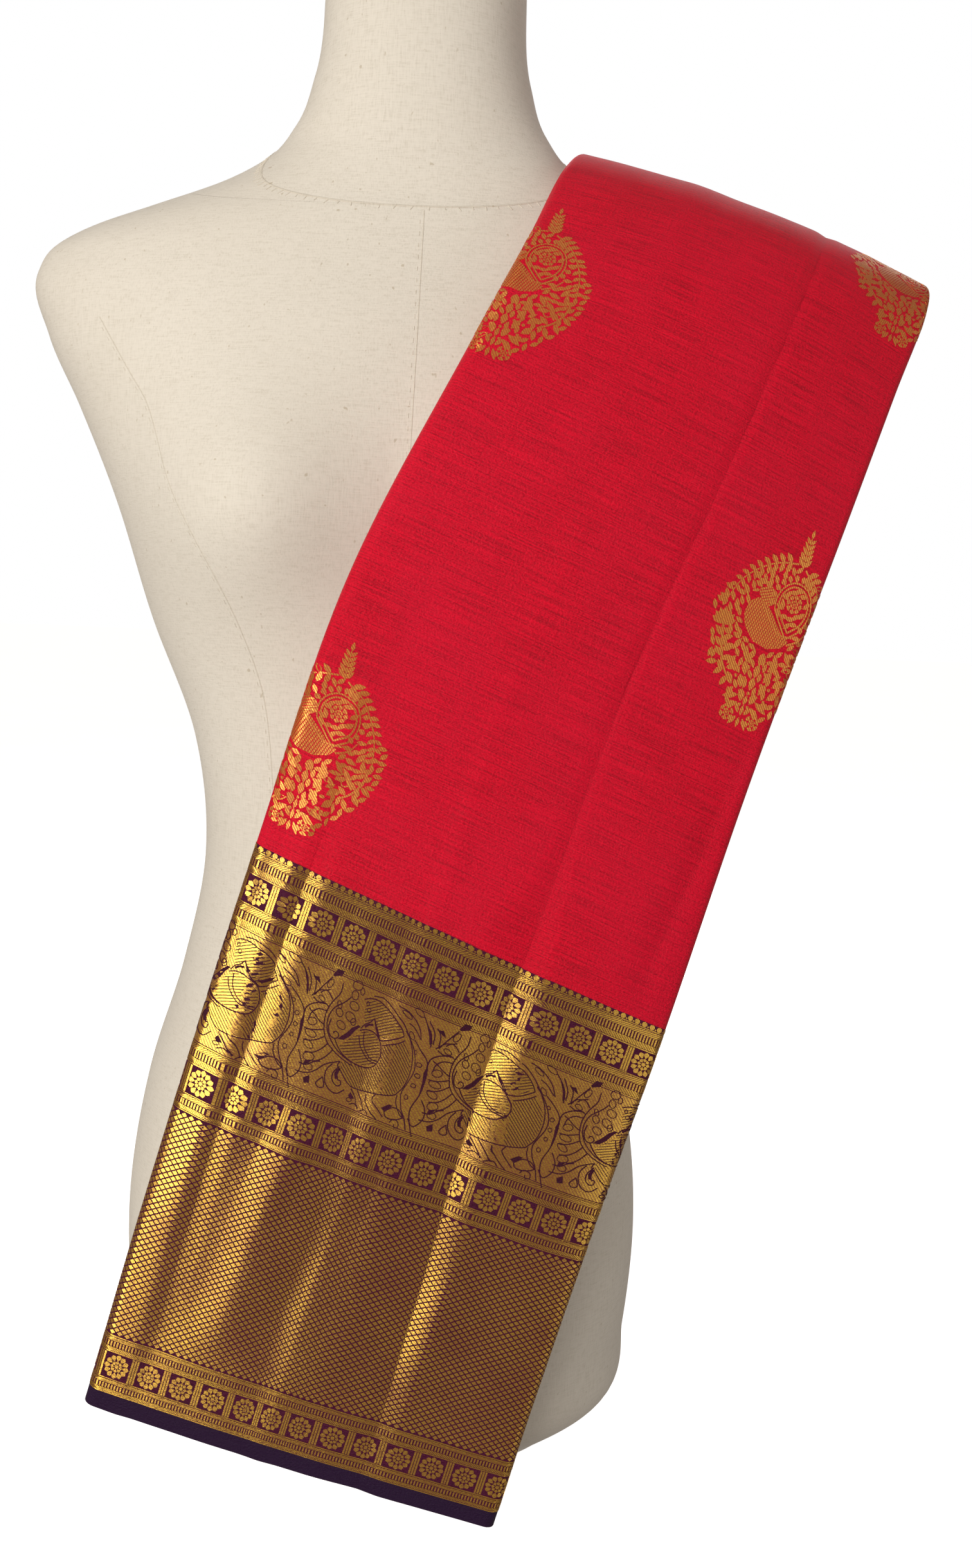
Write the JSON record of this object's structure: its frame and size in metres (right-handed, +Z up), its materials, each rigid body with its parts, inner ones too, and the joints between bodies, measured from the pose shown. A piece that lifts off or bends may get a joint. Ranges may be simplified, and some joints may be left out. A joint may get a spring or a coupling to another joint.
{
  "type": "silk saree draped on a limbless dress form",
  "caption": "A silk saree with a broad woven gold border, folded lengthwise into a band and laid over one shoulder of a linen dress form on a low foot.",
  "frame": {"origin": "on the floor, at the middle of the form's foot", "axes": "+Z up, the form faces -Y, +X is to the right of someone looking at its front"},
  "size_m": [0.4666, 0.2538, 0.797],
  "materials": {
    "red_silk": "smooth crimson silk with a soft sheen and fine slubs",
    "purple_silk": "plain dark purple silk",
    "gold_border": "woven gold metal thread on dark purple silk",
    "inner_silk": "folded layers of the same crimson silk",
    "linen": "matt off-white linen with small slubs and specks",
    "foot": "plain pale painted board"
  },
  "bodies": {
    "root": {"form_torso": "linen", "form_neck": "linen", "form_foot": "foot", "saree_front_selvedge": "purple_silk", "saree_front_border": "gold_border", "saree_front_field": "red_silk", "saree_shoulder_field": "red_silk", "saree_back_field": "red_silk", "saree_back_border": "purple_silk", "saree_inner_front": "inner_silk", "saree_inner_shoulder": "inner_silk", "saree_inner_back": "inner_silk"}
  },
  "joints": []
}
